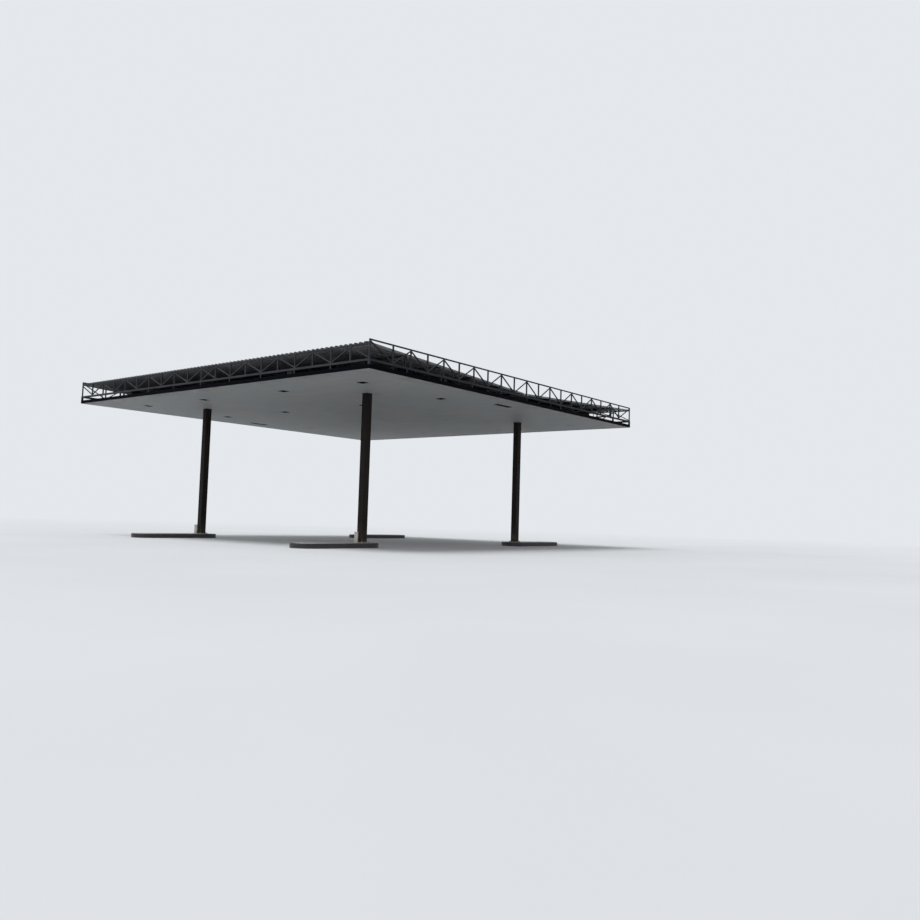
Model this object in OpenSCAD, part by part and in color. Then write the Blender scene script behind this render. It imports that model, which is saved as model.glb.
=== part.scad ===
// Square filling station canopy: four box columns on kerbed islands carry two
// long beams, a butterfly roof of ribbed sheet with a valley gutter, open
// lattice trusses on all four faces and a flat plank soffit with lamp cut-outs.
// X runs across the lanes, Y along them, Z up from the ground.

/* [Plan] */
// Side of the square roof, over the faces of the trusses
roof_side = 20000; // [18000:500:21000]
// Distance between column centres, the same both ways
column_spacing = 11300; // [10000:100:12300]
// Outer lamp rows, from the middle, across the lanes
lamp_outer_x = 7530; // [7450:10:7900]
// Inner lamp rows, from the middle, across the lanes
lamp_inner_x = 2810; // [2000:10:3200]
// Outer lamp rows, from the middle, along the lanes
lamp_outer_y = 7800; // [7400:50:8200]
// Inner lamp rows, from the middle, along the lanes
lamp_inner_y = 3000; // [2400:50:3600]

/* [Levels] */
// Underside of the soffit above the ground
soffit_height = 6500; // [5000:100:7500]
// Top of the side trusses above the soffit's underside
side_truss_top = 1070; // [1000:10:1200]
// Top of the front and rear trusses above the soffit's underside
end_truss_top = 930; // [910:10:980]
// Underside of every bottom chord above the soffit's underside
truss_bottom = 280; // [240:10:290]
// Fall of the roof towards its valley, in percent
roof_fall = 5; // [4:0.25:5.25]

/* [Columns] */
// Outer width of the square columns
column_width = 300; // [250:10:340]
// Wall of the columns
column_wall = 12; // [8:1:16]
// Side of the base plates
base_plate = 460; // [420:10:560]
// Thickness of the base plates
base_plate_t = 25; // [15:1:40]
// Side of the head plates
head_plate = 380; // [360:10:440]
// Thickness of the head plates
head_plate_t = 20; // [12:1:30]
// Height of the stiffeners on the base plates
stiffener_height = 120; // [80:10:200]
// Thickness of the stiffeners
stiffener_t = 12; // [8:1:16]

/* [Islands] */
// Height of the islands
island_height = 200; // [120:10:250]
// Width of the islands
island_width = 1200; // [1000:50:1500]
// Island length from the column towards the middle
island_inner = 750; // [700:50:1500]
// Island length from the column outwards
island_outer = 3700; // [3000:50:4200]
// Width of the kerb
kerb_width = 120; // [80:10:200]
// Bevel along the kerb's upper outer edge
kerb_bevel = 20; // [10:1:30]
// Diameter of the conduit stubs beside the columns
stub_diameter = 90; // [50:5:110]
// Height of the caps on the conduit stubs
stub_cap = 40; // [20:5:60]
// Height of the conduit stubs above the island
stub_height = 450; // [200:10:700]

/* [Fascia trusses] */
// Side of the square bottom chords
chord = 80; // [70:5:95]
// Side of the square top chords and corner posts
top_chord = 50; // [40:5:60]
// Width of the upright bars
post = 50; // [40:5:60]
// Width of the slanting bars
brace = 40; // [30:2:50]
// Number of bays on the front and rear
end_bays = 20; // [16:2:24]
// First and last bay of the sides
side_end_bay = 1250; // [1000:50:1400]
// Number of equal bays between them
side_bays = 18; // [14:2:22]

/* [Roof frame] */
// Underside of the long beams above the soffit's underside
beam_lift = 80; // [75:5:100]
// Depth of the long beams
beam_depth = 280; // [260:10:290]
// Width of the long beams
beam_width = 280; // [200:10:300]
// Flange thickness of the long beams
beam_flange = 18; // [12:1:24]
// Web thickness of the long beams
beam_web = 10; // [8:1:14]
// Depth of the cross beams
cross_depth = 200; // [160:10:210]
// Width of the cross beams
cross_width = 150; // [100:10:200]
// Flange thickness of the cross beams
cross_flange = 12; // [8:1:16]
// Web thickness of the cross beams
cross_web = 8; // [6:1:12]
// Thickness of the cross beams' end plates
cross_plate_t = 12; // [8:1:20]
// Number of equal spaces from the valley to the front and rear trusses
roof_spaces = 5; // [5:1:6]
// Side of the joist chords
joist_chord = 60; // [50:5:70]
// Width of the joist bars
joist_brace = 36; // [24:2:44]
// Number of bays along a joist
joist_bays = 18; // [14:2:22]
// Depth of the purlins
purlin_depth = 120; // [80:10:130]
// Width of the purlins
purlin_width = 60; // [40:5:80]
// Distance of the valley purlins from the middle
valley_purlin_y = 350; // [300:10:500]
// Depth of the valley purlins
valley_purlin_depth = 60; // [40:5:64]
// Side of the stub posts under the purlins
roof_post = 80; // [60:5:100]

/* [Roof deck] */
// Pitch of the ribs
rib_pitch = 250; // [200:10:333]
// Height of the ribs
rib_height = 50; // [35:1:60]
// Width of a rib's crest
rib_crest = 90; // [60:5:110]
// Run of a rib's slanting side
rib_flank = 25; // [15:1:35]
// Sheet thickness
deck_t = 2; // [1:0.25:3]
// Clearance between the sheets and the side trusses
deck_side_gap = 20; // [10:5:60]

/* [Valley gutter] */
// Width of the gutter
gutter_width = 300; // [240:10:400]
// Wall of the gutter
gutter_wall = 3; // [2:0.5:4]
// Lap of the sheets over the gutter
gutter_lap = 40; // [20:5:60]
// Width of the brackets under the gutter
bracket_width = 50; // [30:5:80]
// Thickness of the brackets
bracket_t = 6; // [4:1:8]
// Diameter of the outlets
outlet_diameter = 110; // [80:5:160]
// Length of the outlets
outlet_length = 240; // [100:10:260]
// Distance of the outlets from the middle
outlet_x = 8700; // [8300:50:8800]

/* [Soffit] */
// Width of a plank and side of a lamp cut-out
plank_width = 400; // [300:10:440]
// Depth of the planks
panel_t = 30; // [20:1:32]
// Width of the V joint between planks
joint_width = 10; // [6:1:20]
// Gap between separate panels
seam = 4; // [2:1:8]
// Side of the soffit openings round the column heads
head_opening = 800; // [600:20:900]
// Length of the slots left under the gutter outlets
slot_length = 1200; // [800:50:2000]
// Width of these slots
slot_width = 300; // [200:10:500]
// Height of the bars on edge round the cut-outs and slots
trimmer_height = 60; // [40:5:80]
// Thickness of these bars
trimmer_t = 4; // [3:1:8]
// Width and depth of the carrier rails
rail = 40; // [30:2:42]
// Wall of the carrier rails
rail_wall = 4; // [3:1:6]
// Distance of the outer rails from the roof's edge
rail_edge = 700; // [500:20:760]
// Distance of the middle rails from the column lines
rail_offset = 950; // [600:10:1000]
// Distance of the inner rails from the middle
rail_inner = 1300; // [800:20:1500]
// Diameter of the hangers
hanger_diameter = 16; // [10:1:20]
// Height of the edge trim
trim_height = 150; // [100:5:160]
// Thickness of the edge trim
trim_t = 8; // [5:1:12]
// Width of the trim's inner leg
trim_leg = 60; // [40:5:80]
// Width of the flats between trim and chord
tie_width = 60; // [40:5:80]

/* [Hidden] */

steel = [0.12, 0.13, 0.14];
deck_grey = [0.17, 0.18, 0.2];
panel_grey = [0.72, 0.73, 0.74];
kerb_grey = [0.2, 0.21, 0.22];
concrete = [0.55, 0.55, 0.53];
plastic = [0.88, 0.88, 0.86];
zinc = [0.55, 0.57, 0.59];
$fn = 48;

half = roof_side / 2;
inner_face = half - chord;
post_line = half - chord / 2;
top_inner = post_line - top_chord / 2;
col = column_spacing / 2;
soffit = soffit_height;
beam_bottom = soffit + beam_lift;
beam_top = beam_bottom + beam_depth;
column_bottom = island_height + base_plate_t;
column_top = beam_bottom - head_plate_t;
cross_bottom = beam_bottom + (beam_depth - cross_depth) / 2;
chord_bottom = soffit + truss_bottom;
panel_top = soffit + panel_t;
rail_top = panel_top + rail;
fall_angle = atan(roof_fall / 100);
line_pitch = half / roof_spaces;
joist_y = [for (i = [roof_spaces - 1:-1:3]) i * line_pitch];
purlin_y = [2 * line_pitch, line_pitch];
deck_end_y = gutter_width / 2 - gutter_lap;
rail_x = [half - rail_edge, col + rail_offset, col - rail_offset, rail_inner];
bracket_x = [col / 4, 3 * col / 4, (col + outlet_x) / 2, (outlet_x + inner_face) / 2];
brace_seat = 0.45 * brace;
bar_gap = 0.5;
sides = [-1, 1];
// Every purlin line as [distance from the middle, depth]
purlin_lines = concat([for (y = purlin_y) [y, purlin_depth]], [[valley_purlin_y, valley_purlin_depth]]);
// Edges between soffit panels along Y, and the openings across each strip
outer_rows = [lamp_outer_y - plank_width / 2, lamp_outer_y + plank_width / 2];
inner_rows = [lamp_inner_y - plank_width / 2, lamp_inner_y + plank_width / 2];
head_rows = [col - head_opening / 2, col + head_opening / 2];
edge = half - trim_t - seam / 2;
lamp_cuts = [for (x = [-lamp_outer_x, -lamp_inner_x, lamp_inner_x, lamp_outer_x])
             [x - plank_width / 2, x + plank_width / 2]];
head_cuts = [for (sx = sides) [sx * col - head_opening / 2, sx * col + head_opening / 2]];
slot_cuts = [for (sx = sides) [sx * outlet_x - slot_width / 2, sx * outlet_x + slot_width / 2]];

// Underside of the sheets at a distance y from the middle
function deck_z(y) = soffit + end_truss_top - (top_inner - y) * roof_fall / 100;
// Top of a bar under the sheets, which touch its inner edge
function under_deck(y, width) = deck_z(y - width / 2);
// Evenly spaced values from a to b
function steps(a, b, n) = [for (i = [0:n]) a + (b - a) * i / n];

// Square bar from one point of the XZ plane to another, centred on y = 0
module slant(x0, z0, x1, z1, width, depth) {
  length = norm([x1 - x0, z1 - z0]);
  translate([x0, 0, z0])
    rotate([0, -atan2(z1 - z0, x1 - x0), 0])
      translate([0, -depth / 2, -width / 2]) cube([length, depth, width]);
}

// I section along Y with its underside at z = 0
module i_beam(length, depth, width, flange, web) {
  translate([0, length / 2, 0]) rotate([90, 0, 0]) linear_extrude(length) {
    translate([-width / 2, 0]) square([width, flange]);
    translate([-width / 2, depth - flange]) square([width, flange]);
    translate([-web / 2, flange / 2]) square([web, depth - flange]);
  }
}

// Flat lattice in the XZ plane between two corner posts: two chords, posts at
// the bay lines, and one slanting bar in each bay, the first of them falling.
// A crossed bay has both bars, and the bars beyond it start falling again.
module lattice(lines, bottom, top, crossed_bay) {
  count = len(lines) - 1;
  low = bottom + chord + brace_seat;
  high = top - top_chord - brace_seat;
  translate([-inner_face, -chord / 2, bottom]) cube([2 * inner_face, chord, chord]);
  translate([-top_inner, -top_chord / 2, top - top_chord]) cube([2 * top_inner, top_chord, top_chord]);
  for (i = [1:count - 1])
    translate([lines[i] - post / 2, -post / 2, bottom + chord / 2])
      cube([post, post, top - top_chord / 2 - bottom - chord / 2]);
  intersection() {
    translate([-top_inner, -chord / 2, bottom]) cube([2 * top_inner, chord, top - bottom]);
    for (i = [0:count - 1]) {
      past = crossed_bay >= 0 && i > crossed_bay ? 1 : 0;
      rising = (i + past) % 2 == 1;
      slant(lines[i], rising ? low : high, lines[i + 1], rising ? high : low, brace, brace);
      if (i == crossed_bay)
        slant(lines[i], rising ? high : low, lines[i + 1], rising ? low : high, brace, brace);
    }
  }
}

// Long block with round ends over an island's plan, w to each side of its
// middle, with a bevel along its upper edge
module island_block(w, height, bevel) {
  near = col - island_inner + island_width / 2;
  far = col + island_outer - island_width / 2;
  for (y = [near, far]) translate([0, y, 0]) {
    cylinder(h = height - bevel, r = w);
    if (bevel > 0) translate([0, 0, height - bevel]) cylinder(h = bevel, r1 = w, r2 = w - bevel);
  }
  translate([0, far, 0]) rotate([90, 0, 0]) linear_extrude(far - near)
    polygon(concat([[-w, 0], [w, 0], [w, height - bevel]], bevel > 0 ? [[w - bevel, height], [bevel - w, height]] : [],
                   [[-w, height - bevel]]));
}

module island_kerb() {
  color(kerb_grey) difference() {
    island_block(island_width / 2, island_height, kerb_bevel);
    translate([0, 0, -1]) island_block(island_width / 2 - kerb_width, island_height + 2, 0);
  }
}

module island_fill() {
  color(concrete) island_block(island_width / 2 - kerb_width, island_height, 0);
}

// The pieces of one island or column, moved to its place: sx, sy are -1 or 1
module at_island(sx, sy) {
  translate([sx * col, 0, 0]) mirror([0, sy < 0 ? 1 : 0, 0]) children();
}

module at_columns() {
  for (sx = sides, sy = sides) translate([sx * col, sy * col, 0]) children();
}

module box_column(sx, sy) {
  color(steel) translate([sx * col, sy * col, column_bottom])
    linear_extrude(column_top - column_bottom) difference() {
      square(column_width, center = true);
      square(column_width - 2 * column_wall, center = true);
    }
}

module column_base_plates() {
  reach = (base_plate - column_width) / 2 - 10;
  color(steel) at_columns() translate([0, 0, island_height]) {
    translate([-base_plate / 2, -base_plate / 2, 0]) cube([base_plate, base_plate, base_plate_t]);
    for (a = [0:90:270], s = sides)
      rotate([0, 0, a]) translate([column_width / 2, s * column_width / 4 + stiffener_t / 2, 0])
        rotate([90, 0, 0]) linear_extrude(stiffener_t)
          polygon([[0, base_plate_t / 2], [reach, base_plate_t / 2], [reach, base_plate_t + 20],
                   [20, base_plate_t + stiffener_height], [0, base_plate_t + stiffener_height]]);
  }
}

module column_head_plates() {
  color(steel) at_columns() translate([-head_plate / 2, -head_plate / 2, column_top])
    cube([head_plate, head_plate, head_plate_t]);
}

module conduit_stubs() {
  off = base_plate / 2 + stub_diameter / 2 + 10;
  color(plastic) for (sx = sides, sy = sides)
    translate([sx * col, sy * (col + off), island_height]) {
      cylinder(h = stub_height - stub_cap / 2, d = stub_diameter);
      translate([0, 0, stub_height - stub_cap]) cylinder(h = stub_cap, d = stub_diameter + 8);
    }
}

module main_beam(sx) {
  color(steel) translate([sx * col, 0, beam_bottom]) {
    i_beam(2 * inner_face, beam_depth, beam_width, beam_flange, beam_web);
    for (sy = sides) {
      translate([-beam_width / 2, sy * (inner_face - head_plate_t / 2) - head_plate_t / 2, 0])
        cube([beam_width, head_plate_t, beam_depth]);
      for (t = sides)
        translate([-beam_width / 2, sy * col + t * (column_width - stiffener_t) / 2 - stiffener_t / 2, beam_flange / 2])
          cube([beam_width, stiffener_t, beam_depth - beam_flange]);
    }
  }
}

// One line of cross beams, in three lengths whose end plates butt against the
// long beams' webs and the side trusses
module cross_beams(sy) {
  web_face = beam_web / 2;
  color(steel) translate([0, sy * col, cross_bottom]) for (span = [
      [-inner_face, -col - web_face], [-col + web_face, col - web_face], [col + web_face, inner_face]]) {
    translate([(span[0] + span[1]) / 2, 0, 0]) rotate([0, 0, 90])
      i_beam(span[1] - span[0], cross_depth, cross_width, cross_flange, cross_web);
    for (x = [span[0], span[1] - cross_plate_t])
      translate([x, -cross_width / 2, 0]) cube([cross_plate_t, cross_width, cross_depth]);
  }
}

module end_truss(sy) {
  color(steel) translate([0, sy * post_line, 0])
    lattice(concat([-post_line], [for (i = [1:end_bays - 1]) half * (2 * i / end_bays - 1)], [post_line]),
            chord_bottom, soffit + end_truss_top, end_bays / 2);
}

module side_truss(sx) {
  color(steel) translate([sx * post_line, 0, 0]) rotate([0, 0, 90])
    lattice(concat([-post_line], steps(side_end_bay - half, half - side_end_bay, side_bays), [post_line]),
            chord_bottom, soffit + side_truss_top, -1);
}

// Corner posts: as wide as the bottom chords up to their tops, then as the top chords
module corner_posts() {
  base = soffit + trim_height;
  color(steel) for (sx = sides, sy = sides) translate([sx * post_line, sy * post_line, base]) {
    translate([-chord / 2, -chord / 2, 0]) cube([chord, chord, chord_bottom + chord - base]);
    translate([-top_chord / 2, -top_chord / 2, 0]) cube([top_chord, top_chord, side_truss_top - trim_height]);
  }
}

// Light joist along X with a zigzag web and end posts that reach the side trusses
module lattice_joist(y) {
  top = under_deck(y, joist_chord);
  low = beam_top + joist_chord / 2;
  high = top - joist_chord / 2;
  lines = steps(-inner_face + joist_chord / 2, inner_face - joist_chord / 2, joist_bays);
  translate([0, -y, 0]) {
    for (z = [beam_top, top - joist_chord])
      translate([-inner_face, -joist_chord / 2, z]) cube([2 * inner_face, joist_chord, joist_chord]);
    for (sx = sides)
      translate([sx * (inner_face - joist_chord / 2) - joist_chord / 2, -joist_chord / 2, chord_bottom])
        cube([joist_chord, joist_chord, top - chord_bottom]);
    for (i = [0:joist_bays - 1])
      slant(lines[i], i % 2 == 0 ? low : high, lines[i + 1], i % 2 == 0 ? high : low, joist_brace, joist_brace);
  }
}

module lattice_joists(sy) {
  color(steel) mirror([0, sy > 0 ? 1 : 0, 0]) for (y = joist_y) lattice_joist(y);
}

module purlins(sy) {
  color(steel) for (p = purlin_lines)
    translate([-inner_face, sy * p[0] - purlin_width / 2, under_deck(p[0], purlin_width) - p[1]])
      cube([2 * inner_face, purlin_width, p[1]]);
}

module roof_posts() {
  color(steel) for (sx = sides, sy = sides, p = purlin_lines)
    translate([sx * col - roof_post / 2, sy * p[0] - purlin_width / 2, beam_top])
      cube([roof_post, purlin_width, under_deck(p[0], purlin_width) - p[1] - beam_top]);
}

// Ribbed sheet from the edge down to the gutter, modelled on the front slope,
// with flat margins beyond the outermost ribs
module deck_sheet() {
  side = inner_face - deck_side_gap;
  ribs = floor(2 * side / rib_pitch);
  first = -ribs * rib_pitch / 2;
  pan = (rib_pitch - rib_crest - 2 * rib_flank) / 2;
  run = half - deck_end_y;
  length = run / cos(fall_angle);
  wave = [for (i = [0:ribs - 1], p = [[pan, 0], [pan + rib_flank, 1], [rib_pitch - pan - rib_flank, 1],
                                      [rib_pitch - pan, 0]]) [first + i * rib_pitch + p[0], p[1] * rib_height]];
  line = concat([[-side, 0]], wave, [[side, 0]]);
  translate([0, -half, deck_z(half)]) rotate([-fall_angle, 0, 0]) translate([0, length, 0]) rotate([90, 0, 0])
    linear_extrude(length)
      polygon(concat(line, [for (i = [len(line) - 1:-1:0]) line[i] + [0, deck_t]]));
}

module roof_deck(sy) {
  color(deck_grey) mirror([0, sy > 0 ? 1 : 0, 0]) deck_sheet();
}

module valley_gutter() {
  depth = deck_z(deck_end_y) - beam_top - 1;
  color(zinc) difference() {
    translate([-inner_face, -gutter_width / 2, beam_top]) cube([2 * inner_face, gutter_width, depth]);
    translate([gutter_wall - inner_face, gutter_wall - gutter_width / 2, beam_top + gutter_wall])
      cube([2 * (inner_face - gutter_wall), gutter_width - 2 * gutter_wall, depth]);
    for (sx = sides) translate([sx * outlet_x, 0, beam_top - 1]) cylinder(h = gutter_wall + 2, d = outlet_diameter);
  }
}

// Flat bars bent under the gutter, with their ends up against the valley purlins
module gutter_brackets() {
  seat = under_deck(valley_purlin_y, purlin_width) - valley_purlin_depth;
  tip = valley_purlin_y + purlin_width / 2;
  wall = gutter_width / 2;
  right = [[wall, beam_top], [wall, seat], [tip, seat], [tip, seat - bracket_t], [wall + bracket_t, seat - bracket_t],
           [wall + bracket_t, beam_top - bracket_t]];
  left = [for (i = [len(right) - 1:-1:0]) [-right[i][0], right[i][1]]];
  color(zinc) for (sx = sides, x = bracket_x)
    translate([sx * x - bracket_width / 2, 0, 0]) rotate([90, 0, 90]) linear_extrude(bracket_width)
      polygon(concat(right, left));
}

module gutter_outlets() {
  color(zinc) for (sx = sides) translate([sx * outlet_x, 0, beam_top - outlet_length]) difference() {
    cylinder(h = outlet_length, d = outlet_diameter + 2 * gutter_wall);
    translate([0, 0, -1]) cylinder(h = outlet_length + 2, d = outlet_diameter);
  }
}

// Strip of planks along X between y0 and y1, open between the pairs in cuts
module soffit_strip(y0, y1, cuts) {
  a = min(y0, y1) + seam / 2;
  b = max(y0, y1) - seam / 2;
  count = max(1, round((b - a) / plank_width));
  joints = count > 1 ? [for (i = [1:count - 1]) a + (b - a) * i / count] : [];
  v = joint_width / 2;
  under = concat([[a, v], [a + v, 0]], [for (j = joints, p = [[-v, 0], [0, v], [v, 0]]) [j, 0] + p],
                 [[b - v, 0], [b, v], [b, panel_t], [a, panel_t]]);
  starts = concat([-edge], [for (c = cuts) c[1]]);
  ends = concat([for (c = cuts) c[0]], [edge]);
  for (i = [0:len(starts) - 1])
    translate([starts[i], 0, soffit]) rotate([90, 0, 90]) linear_extrude(ends[i] - starts[i]) polygon(under);
}

module soffit_end(sy) {
  color(panel_grey) {
    soffit_strip(sy * edge, sy * outer_rows[1], []);
    soffit_strip(sy * outer_rows[1], sy * outer_rows[0], lamp_cuts);
    soffit_strip(sy * outer_rows[0], sy * head_rows[1], []);
    soffit_strip(sy * head_rows[1], sy * head_rows[0], head_cuts);
    soffit_strip(sy * head_rows[0], sy * inner_rows[1], []);
  }
}

module soffit_middle() {
  color(panel_grey) {
    for (sy = sides) soffit_strip(sy * inner_rows[1], sy * inner_rows[0], lamp_cuts);
    for (sy = sides) soffit_strip(sy * inner_rows[0], sy * slot_length / 2, []);
    soffit_strip(-slot_length / 2, slot_length / 2, slot_cuts);
  }
}

module column_collars() {
  side = head_opening - seam;
  color(panel_grey) at_columns() translate([0, 0, soffit]) linear_extrude(panel_t) difference() {
    square(side, center = true);
    square(column_width, center = true);
  }
}

// Four bars on edge round an opening in the planks, standing on them
module trimmer_frame(width, length) {
  for (s = sides) {
    translate([-width / 2 - trimmer_t, s * (length + trimmer_t) / 2 - trimmer_t / 2, panel_top])
      cube([width + 2 * trimmer_t, trimmer_t, trimmer_height]);
    translate([s * (width + trimmer_t) / 2 - trimmer_t / 2, bar_gap - length / 2, panel_top])
      cube([trimmer_t, length - 2 * bar_gap, trimmer_height]);
  }
}

module soffit_trimmers() {
  color(steel) {
    for (sx = sides, sy = sides, x = [lamp_outer_x, lamp_inner_x], y = [lamp_outer_y, lamp_inner_y])
      translate([sx * x, sy * y, 0]) trimmer_frame(plank_width, plank_width + seam);
    for (sx = sides) translate([sx * outlet_x, 0, 0]) trimmer_frame(slot_width, slot_length + seam);
  }
}

module soffit_rails() {
  color(zinc) for (sx = sides, x = rail_x)
    translate([sx * x, inner_face - head_plate_t, panel_top]) rotate([90, 0, 0])
      linear_extrude(2 * (inner_face - head_plate_t)) difference() {
        translate([-rail / 2, 0]) square([rail, rail]);
        translate([rail_wall - rail / 2, -1]) square([rail - 2 * rail_wall, rail - rail_wall + 1]);
      }
}

module soffit_hangers() {
  tops = concat([for (y = joist_y) [y, beam_top]],
                [for (y = purlin_y) [y, under_deck(y, purlin_width) - purlin_depth]]);
  color(zinc) for (sx = sides, sy = sides, x = rail_x, t = tops)
    translate([sx * x, sy * t[0], rail_top]) cylinder(h = t[1] - rail_top, d = hanger_diameter, $fn = 8);
}

// Edge trim along Y at the right-hand edge: an upright with a leg on the planks
module trim_length(length) {
  translate([0, length / 2, soffit]) rotate([90, 0, 0]) linear_extrude(length)
    polygon([[half, 0], [half, trim_height], [half - trim_t, trim_height], [half - trim_t, panel_t + trim_t],
             [half - trim_leg, panel_t + trim_t], [half - trim_leg, panel_t], [half - trim_t, panel_t],
             [half - trim_t, 0]]);
}

module soffit_edge_trim() {
  color(steel) for (a = [0:90:270])
    rotate([0, 0, a]) trim_length(a % 180 == 0 ? 2 * (half - trim_leg) - seam : 2 * half);
}

module trim_ties() {
  count = end_bays / 2;
  color(steel) for (a = [0:90:270], p = steps(-half, half, count))
    if (abs(p) < half - chord)
      rotate([0, 0, a]) translate([half - trim_t - trim_t, p - tie_width / 2, panel_top + trim_t])
        cube([trim_t, tie_width, truss_bottom - panel_t - trim_t]);
}

at_island(-1, -1) island_kerb();  // island_kerb_front_left
at_island(1, -1) island_kerb();  // island_kerb_front_right
at_island(-1, 1) island_kerb();  // island_kerb_rear_left
at_island(1, 1) island_kerb();  // island_kerb_rear_right
at_island(-1, -1) island_fill();  // island_fill_front_left
at_island(1, -1) island_fill();  // island_fill_front_right
at_island(-1, 1) island_fill();  // island_fill_rear_left
at_island(1, 1) island_fill();  // island_fill_rear_right
box_column(-1, -1);  // column_front_left
box_column(1, -1);  // column_front_right
box_column(-1, 1);  // column_rear_left
box_column(1, 1);  // column_rear_right
column_base_plates();
column_head_plates();
conduit_stubs();
main_beam(-1);  // main_beam_left
main_beam(1);  // main_beam_right
cross_beams(-1);  // cross_beams_front
cross_beams(1);  // cross_beams_rear
end_truss(-1);  // fascia_truss_front
end_truss(1);  // fascia_truss_rear
side_truss(-1);  // fascia_truss_left
side_truss(1);  // fascia_truss_right
corner_posts();
lattice_joists(-1);  // lattice_joists_front
lattice_joists(1);  // lattice_joists_rear
purlins(-1);  // purlins_front
purlins(1);  // purlins_rear
roof_posts();
roof_deck(-1);  // roof_deck_front
roof_deck(1);  // roof_deck_rear
valley_gutter();
gutter_brackets();
gutter_outlets();
soffit_end(-1);  // soffit_panels_front
soffit_middle();  // soffit_panels_middle
soffit_end(1);  // soffit_panels_rear
column_collars();
soffit_trimmers();
soffit_rails();
soffit_hangers();
soffit_edge_trim();
trim_ties();
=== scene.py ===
import math

import bpy
import numpy as np
from mathutils import Matrix, Vector


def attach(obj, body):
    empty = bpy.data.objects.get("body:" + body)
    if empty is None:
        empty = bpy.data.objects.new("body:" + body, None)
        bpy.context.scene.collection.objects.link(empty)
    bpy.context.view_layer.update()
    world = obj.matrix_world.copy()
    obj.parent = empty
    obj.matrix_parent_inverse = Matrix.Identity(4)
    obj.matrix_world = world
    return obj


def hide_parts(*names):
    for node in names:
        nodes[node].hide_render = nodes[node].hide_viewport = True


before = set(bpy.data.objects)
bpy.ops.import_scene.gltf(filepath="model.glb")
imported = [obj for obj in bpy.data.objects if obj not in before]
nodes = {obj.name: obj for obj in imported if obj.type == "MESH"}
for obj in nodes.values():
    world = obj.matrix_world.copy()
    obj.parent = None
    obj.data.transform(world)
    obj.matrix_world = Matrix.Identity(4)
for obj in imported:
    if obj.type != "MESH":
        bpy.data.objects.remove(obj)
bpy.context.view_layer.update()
scene = bpy.context.scene
scene.view_settings.view_transform = "Standard"
print("frame loaded:", len(nodes), "nodes")

# Sizes of the frame that the pieces below are set against, in metres
plan = {"half": 10.0, "column": 5.65, "columnWidth": 0.3, "island": 0.2, "baseTop": 0.225, "soffit": 6.5,
        "railTop": 6.57,
        # lattice trusses
        "postLine": 9.96, "post": 0.05, "chordTop": 6.86, "topChord": 0.05, "endTop": 7.43, "sideTop": 7.57,
        # ribbed sheets, which end beside the valley; the ribs are spaced evenly between the two rib edges
        "fall": 0.05, "deckAtValley": 6.93325, "deckEnd": 0.11, "sheet": 0.002,
        "ribEdge": 9.875, "rib": 0.25, "ribHeight": 0.05, "ribCrest": 0.09, "ribFlank": 0.025}

# Camera
view = {"place": (30.64, -30.84, 1.28), "turn": -38.28, "rise": 4.08, "roll": 1.71,
        "focalPixels": 837.9, "framePixels": 920, "sensor": 36, "clip": 2000}


def placeCamera(v):
    turn, rise, roll = (math.radians(v[key]) for key in ("turn", "rise", "roll"))
    ahead = Vector((math.sin(turn) * math.cos(rise), math.cos(turn) * math.cos(rise), math.sin(rise)))
    level = Vector((math.cos(turn), -math.sin(turn), 0))
    upright = level.cross(ahead)
    right = math.cos(roll) * level + math.sin(roll) * upright
    up = math.cos(roll) * upright - math.sin(roll) * level
    data = bpy.data.cameras.new("photoCamera")
    data.lens = v["focalPixels"] / v["framePixels"] * v["sensor"]
    data.sensor_width, data.clip_end = v["sensor"], v["clip"]
    camera = bpy.data.objects.new("photoCamera", data)
    scene.collection.objects.link(camera)
    camera.matrix_world = Matrix.Translation(v["place"]) @ Matrix((right, up, -ahead)).transposed().to_4x4()
    scene.camera = camera


placeCamera(view)


# Shapes are pairs: an array of points, and a list of arrays of faces, one array for each number of corners.
# These are the faces between neighbouring rows of a grid of points whose rows are closed rings
def ringFaces(rows, spokes, wrapRows=False):
    i, j = np.meshgrid(np.arange(rows if wrapRows else rows - 1), np.arange(spokes), indexing="ij")
    i2, j2 = (i + 1) % rows, (j + 1) % spokes
    return np.stack([i * spokes + j, i * spokes + j2, i2 * spokes + j2, i2 * spokes + j], -1).reshape(-1, 4)


# The faces of a disc that looks up, whose points are its middle and then its rings, the inner one first
def discFaces(rings, spokes):
    first = 1 + np.arange(spokes)
    return [np.stack([0 * first, first, np.roll(first, -1)], -1), 1 + ringFaces(rings, spokes)[:, ::-1]]


# A turned shape with flat ends, from (r, h) pairs: point (i, j) is (r_i cos a_j, r_i sin a_j, h_i)
def turnedShape(profile, sides):
    radius, height = np.array(profile).T
    angle = (np.arange(sides) + 0.5) * 2 * np.pi / sides
    points = np.stack([np.outer(radius, np.cos(angle)), np.outer(radius, np.sin(angle)),
                       np.outer(height, np.ones(sides))], -1)
    ends = np.stack([np.arange(sides)[::-1], (len(radius) - 1) * sides + np.arange(sides)])
    return points.reshape(-1, 3), [ringFaces(len(radius), sides), ends]


# A closed profile of (out, up) pairs carried round a rectangle. Point (i, t) is ((width / 2 + out_i w_t) u_t,
# (length / 2 + out_i w_t) v_t, up_i w_t), where (u, v) runs round the unit square and w is the swelling
def framedShape(profile, width, length, steps=1, swell=1.0):
    out, up = np.array(profile).T
    side, one = np.linspace(-1, 1, steps + 1)[:-1], np.ones(steps)
    u, v = np.concatenate([one, -side, -one, side]), np.concatenate([side, one, -side, -one])
    swell = swell * np.ones(4 * steps)
    reach = np.outer(out, swell)
    points = np.stack([(width / 2 + reach) * u, (length / 2 + reach) * v, np.outer(up, swell)], -1)
    return points.reshape(-1, 3), [ringFaces(len(out), 4 * steps, wrapRows=True)]


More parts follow.
